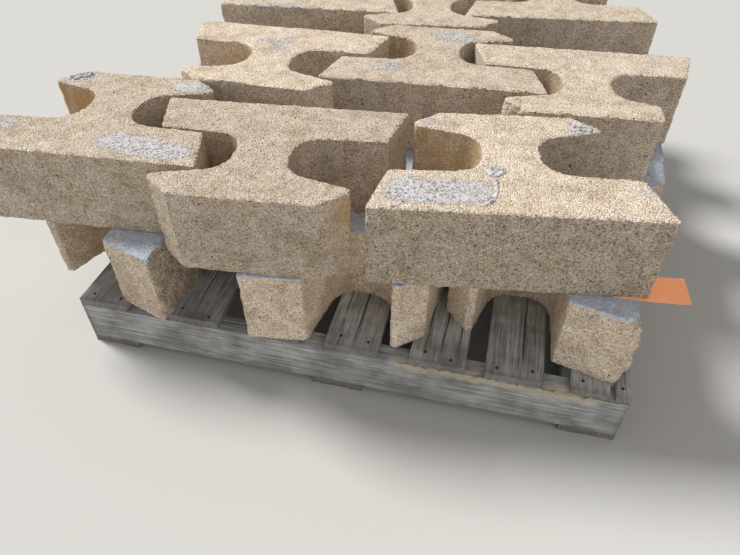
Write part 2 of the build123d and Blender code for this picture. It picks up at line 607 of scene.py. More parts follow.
@dataclass(frozen=True)
class WeatheredSoftwood:
    """Sawn pine or spruce left outdoors: grey and silky on top, brown in its cracks and near-black there
    with painted shade, with open grain.
    """

    name: str
    run: Run
    end_grain: str = "#6F665C"
    # Painted shade: the near-black laid in the cracks, over the brown wood inside them.
    crack: str = "#1F1A16"
    fresh: str = "#CABDA6"
    fibre_tones: Stops = ((0.34, "#959595"), (0.46, "#B8B9B8"), (0.58, "#CCCFD1"), (0.75, "#DAD9D7"))
    fleck_tones: Stops = ((0.36, "#C6C3BF"), (0.60, "#FFFFFF"))
    soak_tones: Stops = ((0.36, "#AFABA6"), (0.62, "#FFFFFF"))
    grain: Noise = (2.0, 5.0, 0.65)
    fleck: Noise = (5.5, 3.0, 0.6)
    soak: Noise = (60.0, 4.0, 0.5)
    wander: float = 0.3
    stretch: float = 28.0
    tone_cover: float = 0.7
    end_cover: float = 0.6
    # The value at which a mark starts to show, the value at which it covers, and its most.
    crack_range: tuple[float, float, float] = (0.35, 0.8, 0.92)
    torn_range: tuple[float, float, float] = (0.15, 0.5, 0.9)
    relief_depth: float = 1.1
    relief_strength: float = 0.7

    def material(self) -> Material:
        """Builds the timber from stretched grain, brown flecks, cracks laid dark with painted shade and
        freshly broken wood.

        Returns:
            The finished material.
        """
        material, tree, place = start_material(self.name)
        squeeze = [1.0, 1.0, 1.0]
        squeeze[self.run.value] = 1 / self.stretch
        drawn = add_node(tree, "Mapping", {"Vector": place, "Scale": squeeze})
        grain, fleck, soak = (
            add_node(tree, "TexNoise", {
                "Vector": spot, "Scale": per_metre(size), "Detail": detail, "Roughness": rough,
                "Distortion": wander,
            })
            for spot, (size, detail, rough), wander in (
                (drawn, self.grain, self.wander), (drawn, self.fleck, 0.0), (place, self.soak, 0.0),
            )
        )
        fibre_tone, fleck_tone, soak_tone = (
            add_node(tree, "ValToRGB", {"Fac": noise}, stops) for noise, stops in (
                (grain, self.fibre_tones), (fleck, self.fleck_tones), (soak, self.soak_tones),
            )
        )
        end, crack, torn = (
            add_node(tree, "Attribute", attribute_name=name).outputs["Fac"]
            for name in ("end", "crack", "torn")
        )
        # The last stretch at each sawn end is laid darkest.
        end_part = add_node(tree, "Math", {0: end, 1: self.end_cover}, operation="MULTIPLY")
        torn_part = add_node(tree, "Math", {0: torn, 1: grain}, operation="MULTIPLY")
        crack_cover, torn_cover = (
            add_node(tree, "MapRange", {"Value": part, "From Min": low, "From Max": high, "To Max": most})
            for part, (low, high, most) in ((crack, self.crack_range), (torn_part, self.torn_range))
        )
        colour = lay_coats(
            tree, fibre_tone, (self.tone_cover, fleck_tone, "MULTIPLY"),
            (self.tone_cover, soak_tone, "MULTIPLY"), (end_part, linear(self.end_grain)),
            (crack_cover, linear(self.crack)), (torn_cover, linear(self.fresh)),
        )
        height = add_node(tree, "Math", {0: grain, 1: fleck}, operation="ADD")
        close_material(tree, colour, height, self.relief_depth, self.relief_strength,
                       {**MATT, "Roughness": 0.9})
        return material


@dataclass(frozen=True)
class TagCard:
    """Orange coated tag card: smooth, a little glossy, scuffed paler in places. It glows faintly with
    painted light, which brightens it where it lies in shade.
    """

    name: str = "orange_tag_card"
    orange: str = "#FFA76E"
    scuffed: str = "#FFB18A"
    painted_glow: float = 0.2
    scuff_mm: float = 14.0
    wave_depth: float = 0.3
    wave_strength: float = 0.3

    def material(self) -> Material:
        """Builds the card from two oranges, with faint waves.

        Returns:
            The finished material.
        """
        material, tree, place = start_material(self.name)
        scuff = add_node(tree, "TexNoise", {
            "Vector": place, "Scale": per_metre(self.scuff_mm), "Detail": 4.0,
        })
        tone = add_node(tree, "ValToRGB", {"Fac": scuff}, ((0.45, self.orange), (0.72, self.scuffed)))
        # The emission is painted light: the card glows faintly though it is no lamp.
        close_material(tree, tone, scuff, self.wave_depth, self.wave_strength, {
            "Roughness": 0.48, "IOR": 1.5,
            "Emission Color": linear(self.orange), "Emission Strength": self.painted_glow,
        })
        return material


@dataclass(frozen=True)
class RustyNail:
    """Plain steel nail, rusted brown: rough, with next to no shine left."""

    name: str = "rusty_steel_nail"
    rust: str = "#5E4636"
    dark: str = "#372C25"
    flake_mm: float = 3.0
    flake_depth: float = 0.3
    flake_strength: float = 0.5

    def material(self) -> Material:
        """Builds the rust from two browns.

        Returns:
            The finished material.
        """
        material, tree, place = start_material(self.name)
        rust = add_node(tree, "TexNoise", {
            "Vector": place, "Scale": per_metre(self.flake_mm), "Detail": 4.0,
        })
        tone = add_node(tree, "ValToRGB", {"Fac": rust}, ((0.4, self.dark), (0.62, self.rust)))
        close_material(tree, tone, rust, self.flake_depth, self.flake_strength,
                       {"Roughness": 0.8, "Metallic": 0.3})
        return material


@dataclass(frozen=True)
class Patch:
    """A rounded rectangle of lime bloom on a block's top: its centre, half sizes and turn in degrees."""

    x: float
    y: float
    half_long: float
    half_short: float
    turn: float = 0.0
    strength: float = 1.0

    # In half sizes: where the patch ends, and over how much it fades. Its corners are squarer than a
    # circle, whose power is 2.
    edge = 1.3
    fade = 0.6
    corner_power = 3

    def cover(self, places: np.ndarray) -> np.ndarray:
        """How much of the bloom lies at each place.

        Args:
            places: Rows of x, y, z in millimetres.

        Returns:
            A value from 0 to 1 for each row.
        """
        angle = math.radians(self.turn)
        offset = places[:, :2] - (self.x, self.y)
        along = offset @ (math.cos(angle), math.sin(angle)) / self.half_long
        across = offset @ (-math.sin(angle), math.cos(angle)) / self.half_short
        power = self.corner_power
        reach = (np.abs(along) ** power + np.abs(across) ** power) ** (1 / power)
        return np.clip((self.edge - reach) / self.fade, 0, 1) * self.strength


@dataclass(frozen=True)
class Chip:
    """A flake knocked off an arris: its centre and its radius along x, y and z."""

    x: float
    y: float
    z: float
    radius: tuple[float, float, float]

    def cut_from(self, piece: Object) -> None:
        """Knocks the flake off with a lumpy stone.

        Args:
            piece: The block, before its fine mesh is made.
        """
        deselect()
        bpy.ops.mesh.primitive_ico_sphere_add(subdivisions=3, radius=1.0,
                                              location=(self.x * MM, self.y * MM, self.z * MM))
        bpy.context.object.scale = [radius * MM for radius in self.radius]
        stone = bake_place()
        raise_lumps(stone, clouds("flake_lumps", 12.0, 2), 6, 0.5)
        finish_with(piece, "BOOLEAN", object=stone, operation="DIFFERENCE", solver="EXACT")
        bpy.data.objects.remove(stone)


@dataclass(frozen=True)
class PaintedLightRun:
    """Painted warm light on a side, fading down from the top arris: where it starts there, its reach and how
    far down it goes.
    """

    x: float
    y: float
    reach: float
    drop: float
    strength: float = 1.0

    # In shares of its reach or drop: where the painted warm light ends.
    edge = 1.2

    def cover(self, places: np.ndarray, top: float) -> np.ndarray:
        """How much of the painted warm light lies at each place.

        Args:
            places: Rows of x, y, z in millimetres.
            top: The height of the block's top in millimetres.

        Returns:
            A value from 0 to 1 for each row.
        """
        across = np.hypot(places[:, 0] - self.x, places[:, 1] - self.y) / self.reach
        down = (top - places[:, 2]) / self.drop
        return np.clip(self.edge - across, 0, 1) * np.clip(self.edge - down, 0, 1) * self.strength


@dataclass
class ConcreteBlock:
    """One wall block, an H in plan. Yaw is its turn in degrees; at 0 its face looks towards -Y."""

    node: str
    layer: Layer
    yaw: float
    face: Skin = Skin.MOULDED
    mesh: Mesh = Mesh.FINE
    patches: tuple[Patch, ...] = ()
    chips: tuple[Chip, ...] = ()
    # Painted warm light: runs of it down the sides.
    painted_light_runs: tuple[PaintedLightRun, ...] = ()
    # Painted shade in the right half of the cut-outs.
    cut_out_shade: float = 0.0
    broken_end: bool = False
    tone: float = 1.0
    belly: float = 0.0
    spill: float = 4.0
    # How strongly painted warm light lies on the upright walls in the left half of the cut-outs.
    stain: float = 0.8

    arris_radius = 1.6
    arris_reach = 5.0
    arris_step = 4.0
    arris_angle = 40.0
    # A rounded corner is made of faces under this area, in square millimetres, over this angle apart.
    narrow_face = 500.0
    corner_angle = 5.0
    face_depth = 14.0
    face_shade = 0.26
    top_depth = 8.0
    cut_out_depth = (108.0, 266.0)
    recess_fade = 12.0
    half_fade = 25.0
    side_grain = 0.4
    face_grain = 1.6
    # The parts of the face's relief that large lumps and fine grit make.
    lump_share = 0.75
    grit_share = 0.35
    # How far the torn ear lies from the block's middle, to its own right and towards its tail.
    torn_from = (60.0, 30.0)
    torn_height = 10.0

    def build(self, material: Material) -> None:
        """Models the block from its CAD node and dresses it.

        Args:
            material: The concrete.
        """
        piece = copy_of_node(self.node, f"{self.node}_cast")
        arris = self.soften_arrises(piece)
        for chip in self.chips:
            chip.cut_from(piece)
        mould = piece.copy()
        mould.data = piece.data.copy()
        bpy.context.scene.collection.objects.link(mould)
        finish_with(piece, "REMESH", mode="VOXEL", voxel_size=self.mesh.value * MM, adaptivity=0.0)
        finish_with(piece, "SHRINKWRAP", target=mould)
        bpy.data.objects.remove(mould)
        self.wear_arrises(piece, arris)
        self.roughen(piece)
        if self.broken_end:
            self.tear_end(piece)
        self.paint(piece)
        hand_over(piece, material, "concrete", self.node, smooth_under=40)

    def soften_arrises(self, piece: Object) -> KDTree:
        """Bevels the sharp edges and remembers where all arrises run.

        Args:
            piece: The merged copy of the node.

        Returns:
            Points along the arrises.
        """
        spots: list[Vector] = []
        with edit(piece) as mesh:
            for edge in mesh.edges:
                if len(edge.link_faces) != 2:
                    continue
                angle = edge.calc_face_angle(0.0)
                narrow = min(face.calc_area() for face in edge.link_faces) < self.narrow_face * MM * MM
                edge.select = angle > math.radians(self.arris_angle)
                if edge.select or (narrow and angle > math.radians(self.corner_angle)):
                    start, end = (vertex.co for vertex in edge.verts)
                    steps = max(1, round(edge.calc_length() / (self.arris_step * MM)))
                    spots += [start.lerp(end, step / steps) for step in range(steps + 1)]
            bmesh.update_edit_mesh(piece.data)
            bpy.ops.mesh.bevel(offset=self.arris_radius * MM, segments=2, clamp_overlap=False)
        arris = KDTree(len(spots))
        for index, spot in enumerate(spots):
            arris.insert(spot, index)
        arris.balance()
        return arris

    def wear_arrises(self, piece: Object, arris: KDTree) -> None:
        """Crumbles the arrises: small flakes all along them and a few longer ones.

        Args:
            piece: The block with its fine mesh.
            arris: Points along the arrises.
        """
        reach = self.arris_reach * MM
        near = np.array([max(0.0, 1 - arris.find(vertex.co)[2] / reach) for vertex in piece.data.vertices])
        set_group(piece, "arris", near)
        raise_lumps(piece, clouds("small_flakes", 5.0, 2, 3.0, 0.45), -0.8, 0.0, "arris")
        raise_lumps(piece, clouds("long_flakes", 16.0, 2, 9.0, -0.35), -1.5, 0.0, "arris")

    def facing(self) -> np.ndarray:
        """The direction that the block's face looks in."""
        angle = math.radians(self.yaw)
        return np.array([math.sin(angle), -math.cos(angle), 0.0])

    def roughen(self, piece: Object) -> None:
        """Gives the skin its sandy lumps and the face its deeper relief.

        Args:
            piece: The block with its fine mesh.
        """
        set_group(piece, "crust", self.bloom_cover(piece))
        raise_lumps(piece, clouds("lime_crust", 6.0, 2), 2.0, 0.2, "crust")
        raise_lumps(piece, clouds("sandy_skin", 8.0, 1), 0.5, 0.5)
        raise_lumps(piece, clouds("slow_swell", 60.0, 1), 0.5, 0.5)
        share = self.face_share(piece)
        if self.belly:
            rise = 1 - (self.layer.value - points_of(piece)[:, 2] / MM) / BLOCK_HEIGHT
            set_group(piece, "belly", share * np.sin(np.clip(rise, 0, 1) * math.pi))
            raise_lumps(piece, None, self.belly, 0.0, "belly")
        set_group(piece, "face", share)
        relief = self.face.value
        raise_lumps(piece, clouds("face_relief", 24.0, 2, 1.4), relief * self.lump_share, 0.55, "face")
        raise_lumps(piece, clouds("face_grit", 9.0, 1, 1.4), relief * self.grit_share, 0.5, "face")

    def tear_end(self, piece: Object) -> None:
        """Roughens the ear on the block's own right, which is on the left of one who looks at its tail.

        Args:
            piece: The block with its fine mesh.
        """
        places, normals = points_of(piece), points_of(piece, "normal")
        angle = math.radians(self.yaw)
        side = np.array([math.cos(angle), math.sin(angle), 0.0])
        centre = (places.max(axis=0) + places.min(axis=0)) / 2
        out, forward = (places - centre) @ side / MM, (places - centre) @ self.facing() / MM
        beyond, behind = self.torn_from
        torn = (normals @ side > 0.5) & (forward < -behind) & (out > beyond)
        set_group(piece, "torn", torn.astype(float))
        raise_lumps(piece, clouds("torn_relief", 18.0, 3, 1.8), self.torn_height, 0.6, "torn")

    def face_share(self, piece: Object) -> np.ndarray:
        """How far each vertex belongs to the face, from 0 to 1."""
        out = points_of(piece) @ self.facing() / MM
        outward = np.clip(points_of(piece, "normal") @ self.facing() * 2 - 0.4, 0, 1)
        return outward * (out > out.max() - self.face_depth)

    def on_top(self, piece: Object) -> np.ndarray:
        """Which vertices lie on the block's upper side."""
        high = points_of(piece)[:, 2] / MM > self.layer.value - self.top_depth
        return high & (points_of(piece, "normal")[:, 2] > 0.3)

    def bloom_cover(self, piece: Object) -> np.ndarray:
        """How much bloom lies at each vertex, from 0 to 1."""
        places = points_of(piece) / MM
        cover = np.zeros(len(places))
        for patch in self.patches:
            cover = np.maximum(cover, patch.cover(places))
        return np.where(self.on_top(piece), cover, 0.0)

    def paint(self, piece: Object) -> None:
        """Marks where bloom, painted sky-lit shade, painted warm light, painted shade and coarse skin lie on
        the block.

        Args:
            piece: The finished shape.
        """
        places, normals = points_of(piece) / MM, points_of(piece, "normal")
        on_top = self.on_top(piece)
        # Painted sky-lit shade: the lower layer's tops, and a little way down their sides, are laid
        # blue-grey.
        below_top = np.clip((self.layer.value - places[:, 2]) / self.spill, 0, 1)
        damp = np.where(on_top, 1.0, 1 - below_top) * (self.layer is Layer.LOWER)
        out = places @ self.facing()
        depth = out.max() - out
        start, end = self.cut_out_depth
        recessed = np.clip(np.minimum(depth - start, end - depth) / self.recess_fade, 0, 1)
        upright = np.clip(1 - np.abs(normals[:, 2]) * 2, 0, 1)
        middle = (places[:, 0].min() + places[:, 0].max()) / 2
        left_half = np.clip((middle - places[:, 0]) / self.half_fade, 0, 1)
        # Painted warm light: the upright walls in the left half of the cut-outs, and the runs down the
        # sides, are laid ochre.
        painted_light_share = upright * recessed * left_half * self.stain
        for run in self.painted_light_runs:
            painted_light_share = np.maximum(painted_light_share, upright * run.cover(places, self.layer.value))
        open_face = self.face_share(piece) * (self.face is not Skin.MOULDED)
        # Painted shade: open faces are laid darker, and so are the upright walls in the right half of the
        # cut-outs on blocks that ask for it.
        shade = self.face_shade * open_face + self.cut_out_shade * upright * recessed * (1 - left_half)
        coarse = np.maximum(np.where(on_top, 1.0, self.side_grain), open_face * self.face_grain)
        bloom = self.bloom_cover(piece)
        mark(piece, bloom=bloom, damp=damp, stain=painted_light_share, tone=self.tone * (1 - shade), coarse=coarse)


@dataclass(frozen=True)
class Crack:
    """A crack along the grain: its distance from the middle of the board, its ends and its depth."""

    across: float
    start: float
    end: float
    depth: float = 1.0
    width: float = 1.9


@dataclass
class Timber:
    """A sawn piece of the pallet: a deck board, a bottom board or a stringer."""

    node: str
    run: Run
    seed: int
    cuts: tuple[int, int, int]
    cracks: tuple[Crack, ...] = ()
    split: bool = False
    torn_edge: tuple[float, float] | None = None
    nails: tuple[float, float] = (-27.0, 27.0)

    crack_depth = 4.5
    crack_taper = 60.0
    # A crack sways by the first two sizes, over waves of the next two.
    long_sway = 1.8
    short_sway = 0.6
    long_wave = (60, 110)
    short_wave = 17
    # In widths of the crack: where its side ends.
    crack_edge = 1.2
    tear_reach = 26.0
    tear_taper = 40.0
    tear_depth = 13.0
    # The colour of a torn edge is stronger than its relief by this.
    tear_colour = 1.6
    darkened_end = 14.0
    eased_edge = 1.6
    split_mesh = 4.0
    # Raised grain is drawn out by these across and along the piece.
    grain_draw = (0.3, 8.0)
    grain_height = 1.0
    end_wear = 5.0

    def build(self, material: Material) -> None:
        """Models the timber on its node's box and dresses it.

        Args:
            material: The softwood whose grain runs the right way.
        """
        piece = self.split_blank() if self.split else self.sawn_blank()
        crack = self.open_cracks(piece)
        torn = self.tear_edge(piece)
        self.weather(piece)
        mark(piece, crack=crack, torn=torn)
        hand_over(piece, material, "softwood", self.node, smooth_under=35)

    def sawn_blank(self) -> Object:
        """Saws a block to the node's size, eases its edges and cuts it into a fine grid.

        Returns:
            The blank.
        """
        low, high = (Vector(corner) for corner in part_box(self.node))
        deselect()
        bpy.ops.mesh.primitive_cube_add(size=1.0, location=(low + high) / 2)
        bpy.context.object.scale = high - low
        piece = bake_place()
        piece.name = f"{self.node}_sawn"
        with edit(piece, "SELECT"):
            bpy.ops.mesh.bevel(offset=self.eased_edge * MM, segments=2)
        for axis, cuts in enumerate(self.cuts):
            long_enough = (high[axis] - low[axis]) * 0.5
            with edit(piece) as mesh:
                for edge in mesh.edges:
                    along = edge.verts[1].co - edge.verts[0].co
                    edge.select = abs(along[axis]) > long_enough
                bmesh.update_edit_mesh(piece.data)
                bpy.ops.mesh.subdivide(number_cuts=cuts)
        return piece

    def split_blank(self) -> Object:
        """Takes the board that has split from its end, with a fine mesh over it."""
        piece = copy_of_node(self.node, f"{self.node}_sawn")
        finish_with(piece, "REMESH", mode="VOXEL", voxel_size=self.split_mesh * MM, adaptivity=0.0)
        return piece

    def open_cracks(self, piece: Object) -> np.ndarray:
        """Sinks the cracks into the upper side, each wandering a little along the grain.

        Args:
            piece: The blank.

        Returns:
            How deep in a crack each vertex is, from 0 to 1.
        """
        places = points_of(piece) / MM
        centre = (places.max(axis=0) + places.min(axis=0)) / 2
        along = places[:, self.run.value] - centre[self.run.value]
        across = places[:, 1 - self.run.value] - centre[1 - self.run.value]
        draw = random.Random(self.seed)
        depth = np.zeros(len(places))
        for crack in self.cracks:
            phase, wave = draw.uniform(0, 6), draw.uniform(*self.long_wave)
            line = crack.across + self.long_sway * np.sin(along / wave + phase)
            line = line + self.short_sway * np.sin(along / self.short_wave + 2 * phase)
            half = (crack.end - crack.start) / 2
            reach = np.clip((half - np.abs(along - crack.start - half)) / self.crack_taper, 0, 1)
            side = np.clip(self.crack_edge - np.abs(across - line) / crack.width, 0, 1)
            here = side * reach * crack.depth
            depth = np.maximum(depth, here)
        depth = np.where(places[:, 2] > centre[2], depth, 0.0)
        set_group(piece, "crack_line", np.clip(depth, 0, 1))
        raise_lumps(piece, None, -self.crack_depth, 0.0, "crack_line", direction="Z")
        return depth

    def tear_edge(self, piece: Object) -> np.ndarray:
        """Splinters a stretch of the near upper edge.

        Args:
            piece: The blank.

        Returns:
            How torn each vertex is, from 0 to 1.
        """
        places = points_of(piece) / MM
        if self.torn_edge is None:
            return np.zeros(len(places))
        start, end = self.torn_edge
        from_top = places[:, 2].max() - places[:, 2]
        from_near = places[:, 1] - places[:, 1].min()
        stretch = np.clip(np.minimum(places[:, 0] - start, end - places[:, 0]) / self.tear_taper, 0, 1)
        torn = np.clip(1 - np.hypot(from_top, from_near) / self.tear_reach, 0, 1) * stretch
        set_group(piece, "torn_edge", torn)
        raise_lumps(piece, clouds("splinters", 14.0, 3, 2.5), -self.tear_depth, 0.15, "torn_edge")
        return np.clip(torn * self.tear_colour, 0, 1)

    def weather(self, piece: Object) -> None:
        """Raises the grain with lumps drawn out along it, and wears the sawn ends.

        Args:
            piece: The blank.
        """
        bpy.ops.object.empty_add(location=(0, 0, 0))
        ruler = bpy.context.object
        across, lengthwise = self.grain_draw
        stretch = [across, across, across]
        stretch[self.run.value] = lengthwise
        ruler.scale = stretch
        bpy.context.view_layer.update()
        along = points_of(piece)[:, self.run.value] / MM
        from_end = np.minimum(along - along.min(), along.max() - along)
        mark(piece, end=np.clip(1 - from_end / self.darkened_end, 0, 1))
        end_grain = np.abs(points_of(piece, "normal")[:, self.run.value]) > 0.7
        set_group(piece, "long_sides", (~end_grain).astype(float))
        raise_lumps(piece, clouds("raised_grain", 26.0, 2), self.grain_height, 0.5, "long_sides",
                    texture_coords="OBJECT", texture_coords_object=ruler)
        bpy.data.objects.remove(ruler)
        set_group(piece, "end_grain", end_grain.astype(float))
        raise_lumps(piece, clouds("worn_end", 20.0, 2, 1.6), -self.end_wear, 0.25, "end_grain")


@dataclass
class DeckNails:
    """The nails that hold the deck boards to the stringers, two at each crossing."""

    boards: Sequence[Timber]
    stringers: Sequence[Timber]
    radius: float = 3.2
    head: float = 1.6
    sunk: float = 1.2
    rim: float = 0.5
    # How far a nail may stray across and along its board.
    stray: tuple[float, float] = (4.0, 7.0)
    seed: int = 11

    def build(self, material: Material) -> None:
        """Models one nail head for each place and joins them to one piece.

        Args:
            material: The rusty steel.
        """
        draw = random.Random(self.seed)
        across_stray, along_stray = self.stray
        heads = []
        for board in self.boards:
            for stringer in self.stringers:
                board_low, board_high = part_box(board.node)
                line_low, line_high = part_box(stringer.node)
                for across in board.nails:
                    off_line = across + draw.uniform(-across_stray, across_stray)
                    x = (board_low[0] + board_high[0]) / 2 + off_line * MM
                    y = (line_low[1] + line_high[1]) / 2 + draw.uniform(-along_stray, along_stray) * MM
                    heads.append(self.nail_head(x, y, board_high[2]))
        pick(heads[0])
        for head in heads:
            head.select_set(True)
        bpy.ops.object.join()
        piece = bpy.context.object
        piece.name = "deck_nails"
        hand_over(piece, material, "softwood")

    def nail_head(self, x: float, y: float, z: float) -> Object:
        """Models a flat head with a rounded rim, just under the board's surface.

        Args:
            x: Its place in metres.
            y: Its place in metres.
            z: The board's top in metres.

        Returns:
            The head.
        """
        deselect()
        bpy.ops.mesh.primitive_cylinder_add(vertices=14, radius=self.radius * MM, depth=self.head * MM,
                                            location=(x, y, z + (self.head / 2 - self.sunk) * MM))
        head = bake_place()
        with edit(head) as mesh:
            for face in mesh.faces:
                face.select = face.normal.z > 0.9
            bmesh.update_edit_mesh(head.data)
            bpy.ops.mesh.bevel(offset=self.rim * MM, segments=2)
        return head


@dataclass
class PinchedTag:
    """The card tag: flat where it is pinched, and lifting a little where it hangs out."""

    node: str = "card_tag"
    length: float = 120.0
    width: float = 62.0
    thickness: float = 0.4
    turn: float = 3.0
    corner: float = 1.5
    free: float = 76.0
    strip: float = 5.0
    lift: float = 5.0
    ripple: float = 0.8
    ripple_turn: float = 9.0

    def build(self, material: Material) -> None:
        """Cuts the card, rounds its corners and curls its free end.

        Args:
            material: The card.
        """
        low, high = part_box(self.node)
        deselect()
        bpy.ops.mesh.primitive_plane_add(size=1.0, location=(Vector(low) + Vector(high)) / 2,
                                         rotation=(0, 0, math.radians(self.turn)))
        bpy.context.object.scale = (self.length * MM, self.width * MM, 1)
        piece = bake_place()
        piece.name = "card_tag_cut"
        with edit(piece, "SELECT"):
            bpy.ops.mesh.bevel(offset=self.corner * MM, segments=4, affect="VERTICES")
        with edit(piece, "SELECT"):
            bpy.ops.mesh.inset(thickness=self.corner * MM)
            for step in range(1, 1 + int(self.free / self.strip)):
                bpy.ops.mesh.select_all(action="SELECT")
                line = high[0] + (step * self.strip - self.free) * MM
                bpy.ops.mesh.bisect(plane_co=(line, 0, 0), plane_no=(1, 0, 0))
        fixed = high[0] - self.free * MM
        for vertex in piece.data.vertices:
            out = max(0.0, (vertex.co.x - fixed) / (self.free * MM))
            rise = self.lift * out * out - self.ripple * math.sin(out * self.ripple_turn)
            vertex.co.z += rise * MM * out
        finish_with(piece, "SOLIDIFY", thickness=self.thickness * MM, offset=0.0)
        hand_over(piece, material, "card", self.node, smooth_under=30)


@dataclass
class PasteBead:
    """A bead of cement paste that dried on a top block. Each point has its x, y and relative thickness."""

    name: str
    path: tuple[tuple[float, float, float], ...]
    width: float = 4.5
    flatness: float = 0.55

    def build(self, material: Material) -> None:
        """Draws the bead along its path, sunk halfway into the block.

        Args:
            material: The concrete.
        """
        top = Layer.UPPER.value * MM
        deselect()
        bpy.ops.curve.primitive_nurbs_path_add(location=(0, 0, 0))
        bpy.context.object.name = self.name
        curve = bpy.context.object.data
        curve.splines.clear()
        spline = curve.splines.new("NURBS")
        spline.points.add(len(self.path) - 1)
        for point, (x, y, size) in zip(spline.points, self.path):
            point.co = (x * MM, y * MM, top, 1)
            point.radius = size
        spline.order_u = 3
        spline.use_endpoint_u = True
        curve.bevel_depth = self.width / 2 * MM
        curve.bevel_resolution = 3
        curve.use_fill_caps = True
        bpy.ops.object.convert(target="MESH")
        piece = bpy.context.object
        raise_lumps(piece, clouds("paste_lumps", 8.0, 3, 1.6), 4.0, 0.5)
        with edit(piece, "SELECT"):
            bpy.ops.transform.resize(value=(1, 1, self.flatness), center_override=(0, 0, top))
        mark(piece, bloom=0.9, damp=0.0, stain=0.0, tone=1.0, coarse=0.0)
        bpy.ops.object.shade_smooth()
        hand_over(piece, material, "concrete")


@dataclass
class Studio:
    """A pale floor, a soft key from the left and a little behind, a broad fill and the camera."""

    floor: str = "#C6C4BF"
    floor_size: float = 24.0
    sky: float = 0.38
    aim: tuple[float, float, float] = (0.0, 0.0, 0.25)
    key_place: tuple[float, float, float] = (-8.2, 2.5, 8.9)
    key_spread: float = 16.0
    key_strength: float = 3.75
    fill_place: tuple[float, float, float] = (1.6, -3.0, 2.2)
    fill_size: float = 2.6
    fill_power: float = 16.0
    camera_place: tuple[float, float, float] = (233.5, -1223.5, 954.5)
    camera_heading: tuple[float, float] = (-0.2334, 0.9724)
    camera_pitch: float = 42.59
    focal_pixels: float = 606.8
    frame_width: float = 740.0

    def build(self) -> None:
        """Lays the floor, hangs the lamps and sets up the camera."""
        self.lay_floor()
        # The key lights load and floor evenly, as a wide soft lamp far away does.
        self.hang("key", "SUN", self.key_place, self.key_strength, angle=math.radians(self.key_spread))
        self.hang("fill", "AREA", self.fill_place, self.fill_power, shape="SQUARE", size=self.fill_size)
        self.set_sky()
        self.set_camera()
        bpy.context.scene.view_settings.view_transform = "Standard"

    def lay_floor(self) -> None:
        """Lays a wide, plain floor under the pallet."""
        material, tree, _ = start_material("pale_floor")
        surface = add_node(tree, "BsdfPrincipled", {"Base Color": linear(self.floor), "Roughness": 0.9})
        add_node(tree, "OutputMaterial", {"Surface": surface})
        deselect()
        bpy.ops.mesh.primitive_plane_add(size=self.floor_size, location=(0, 0, 0))
        floor = bpy.context.object
        floor.name = "floor"
        floor.data.materials.append(material)

    def hang(
        self, name: str, kind: str, place: tuple[float, float, float], energy: float, **settings: object
    ) -> None:
        """Hangs one soft lamp that looks at the load.

        Args:
            name: Its name.
            kind: Its type.
            place: Its place in metres.
            energy: Its strength, in watts for an area lamp.
            settings: Its further fields, such as its size.
        """
        deselect()
        bpy.ops.object.light_add(type=kind, location=place)
        lamp = bpy.context.object
        lamp.name = name
        lamp.data.energy = energy
        for field_name, value in settings.items():
            setattr(lamp.data, field_name, value)
        lamp.rotation_euler = (Vector(self.aim) - lamp.location).to_track_quat("-Z", "Y").to_euler()

    def set_sky(self) -> None:
        """Lights the whole scene evenly and shows the camera a pale ground."""
        world = bpy.data.worlds.new("studio")
        bpy.context.scene.world = world
        world.use_nodes = True
        tree = world.node_tree
        tree.nodes.clear()
        seen = add_node(tree, "LightPath").outputs["Is Camera Ray"]
        light = add_node(tree, "Background", {"Color": (1, 1, 1, 1), "Strength": self.sky})
        shown = add_node(tree, "Background", {"Color": linear(self.floor), "Strength": 1.0})
        mixed = add_node(tree, "MixShader", {0: seen, 1: light, 2: shown})
        add_node(tree, "OutputWorld", {"Surface": mixed})

    def set_camera(self) -> None:
        """Stands the camera where the load was seen from."""
        deselect()
        bpy.ops.object.camera_add(location=[value * MM for value in self.camera_place])
        camera = bpy.context.object
        pitch = math.radians(self.camera_pitch)
        heading = Vector((*self.camera_heading, 0)).normalized()
        aim = heading * math.cos(pitch) + Vector((0, 0, -math.sin(pitch)))
        camera.rotation_euler = aim.to_track_quat("-Z", "Y").to_euler()
        camera.data.sensor_width = 36.0
        camera.data.lens = self.focal_pixels * camera.data.sensor_width / self.frame_width
        bpy.context.scene.camera = camera


